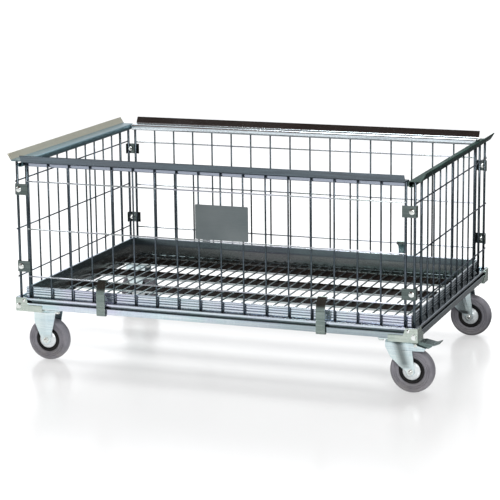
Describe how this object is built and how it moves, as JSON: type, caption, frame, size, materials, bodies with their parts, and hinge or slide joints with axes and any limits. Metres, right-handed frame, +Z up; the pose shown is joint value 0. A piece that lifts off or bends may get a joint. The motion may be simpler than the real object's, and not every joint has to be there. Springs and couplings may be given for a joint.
{
  "type": "wire mesh trolley",
  "caption": "Low open-topped wire-mesh transport trolley with a steel base frame, flared stacking rails, fixed and swivelling castors, and hold-down clips.",
  "frame": {"origin": "on the floor, under the middle of the base frame", "axes": "+X along the length, towards the two swivelling castors; -Y is the front, with the sign plate; +Z up"},
  "size_m": [1.262, 0.83, 0.613],
  "materials": {
    "base": "bright zinc plating with a bluish, slightly iridescent passivation",
    "rail": "zinc plating, darker and streaky",
    "wire": "zinc-plated drawn wire",
    "bracket": "zinc-plated pressed sheet",
    "plate": "satin slate grey",
    "fork": "bright zinc-plated pressing",
    "tyre": "grey elastic rubber",
    "hub": "black polyamide",
    "bolt": "bright zinc-plated fastener"
  },
  "bodies": {
    "root": {"axle_back_left": "bolt", "axle_front_left": "bolt", "base_rail_back": "base", "base_rail_front": "base", "base_rail_left": "base", "base_rail_right": "base", "castor_fork_back_left": "fork", "castor_fork_front_left": "fork", "castor_plate_back_left": "fork", "castor_plate_back_right": "fork", "castor_plate_front_left": "fork", "castor_plate_front_right": "fork", "corner_bracket_back_left": "bracket", "corner_bracket_back_right": "bracket", "corner_bracket_front_left": "bracket", "corner_bracket_front_right": "bracket", "corner_clamp_lower_back_left": "bracket", "corner_clamp_lower_back_right": "bracket", "corner_clamp_lower_front_left": "bracket", "corner_clamp_lower_front_right": "bracket", "corner_clamp_upper_back_left": "bracket", "corner_clamp_upper_back_right": "bracket", "corner_clamp_upper_front_left": "bracket", "corner_clamp_upper_front_right": "bracket", "floor_channel_1": "base", "floor_channel_2": "base", "floor_channel_3": "base", "floor_channel_4": "base", "floor_mat": "wire", "panel_back": "wire", "panel_front": "wire", "panel_left": "wire", "panel_right": "wire", "sign_plate": "plate", "swivel_head_back_right": "fork", "swivel_head_front_right": "fork", "top_rail_back": "rail", "top_rail_front": "rail", "top_rail_left": "rail", "top_rail_right": "rail"},
    "front_right_fork": {"castor_fork_front_right": "fork", "axle_front_right": "bolt", "brake_pin_front_right": "bolt"},
    "back_right_fork": {"castor_fork_back_right": "fork", "axle_back_right": "bolt"},
    "front_right_brake_pedal": {"brake_pedal_front_right": "bracket"},
    "front_left_wheel": {"tyre_front_left": "tyre", "wheel_centre_front_left": "hub"},
    "front_right_wheel": {"tyre_front_right": "tyre", "wheel_centre_front_right": "hub"},
    "back_right_wheel": {"tyre_back_right": "tyre", "wheel_centre_back_right": "hub"},
    "back_left_wheel": {"tyre_back_left": "tyre", "wheel_centre_back_left": "hub"},
    "front_left_clip": {"clip_front_left": "bracket"},
    "front_right_clip": {"clip_front_right": "bracket"},
    "back_right_clip": {"clip_back_right": "bracket"},
    "back_left_clip": {"clip_back_left": "bracket"}
  },
  "joints": [
    {"name": "front_right_swivel", "type": "hinge", "parent": "root", "child": "front_right_fork", "pos_m": [0.53, -0.325, 0.15], "axis": [0, 0, 1], "continuous": true},
    {"name": "back_right_swivel", "type": "hinge", "parent": "root", "child": "back_right_fork", "pos_m": [0.53, 0.325, 0.15], "axis": [0, 0, 1], "continuous": true},
    {"name": "front_left_wheel_spin", "type": "hinge", "parent": "root", "child": "front_left_wheel", "pos_m": [-0.53, -0.325, 0.0625], "axis": [0, 1, 0], "continuous": true},
    {"name": "front_right_wheel_spin", "type": "hinge", "parent": "front_right_fork", "child": "front_right_wheel", "pos_m": [0.566, -0.325, 0.0625], "axis": [0, 1, 0], "continuous": true},
    {"name": "back_right_wheel_spin", "type": "hinge", "parent": "back_right_fork", "child": "back_right_wheel", "pos_m": [0.566, 0.325, 0.0625], "axis": [0, 1, 0], "continuous": true},
    {"name": "back_left_wheel_spin", "type": "hinge", "parent": "root", "child": "back_left_wheel", "pos_m": [-0.53, 0.325, 0.0625], "axis": [0, 1, 0], "continuous": true},
    {"name": "front_right_brake", "type": "hinge", "parent": "front_right_fork", "child": "front_right_brake_pedal", "pos_m": [0.58, -0.325, 0.138], "axis": [0, 1, 0], "range_deg": [0, 15]},
    {"name": "front_left_clip_swing", "type": "hinge", "parent": "root", "child": "front_left_clip", "pos_m": [-0.3275, -0.38489, 0.258], "axis": [-1, 0, 0], "range_deg": [0, 150]},
    {"name": "front_right_clip_swing", "type": "hinge", "parent": "root", "child": "front_right_clip", "pos_m": [0.3275, -0.38489, 0.258], "axis": [-1, 0, 0], "range_deg": [0, 150]},
    {"name": "back_right_clip_swing", "type": "hinge", "parent": "root", "child": "back_right_clip", "pos_m": [0.3275, 0.38489, 0.258], "axis": [1, 0, 0], "range_deg": [0, 150]},
    {"name": "back_left_clip_swing", "type": "hinge", "parent": "root", "child": "back_left_clip", "pos_m": [-0.3275, 0.38489, 0.258], "axis": [1, 0, 0], "range_deg": [0, 150]}
  ]
}
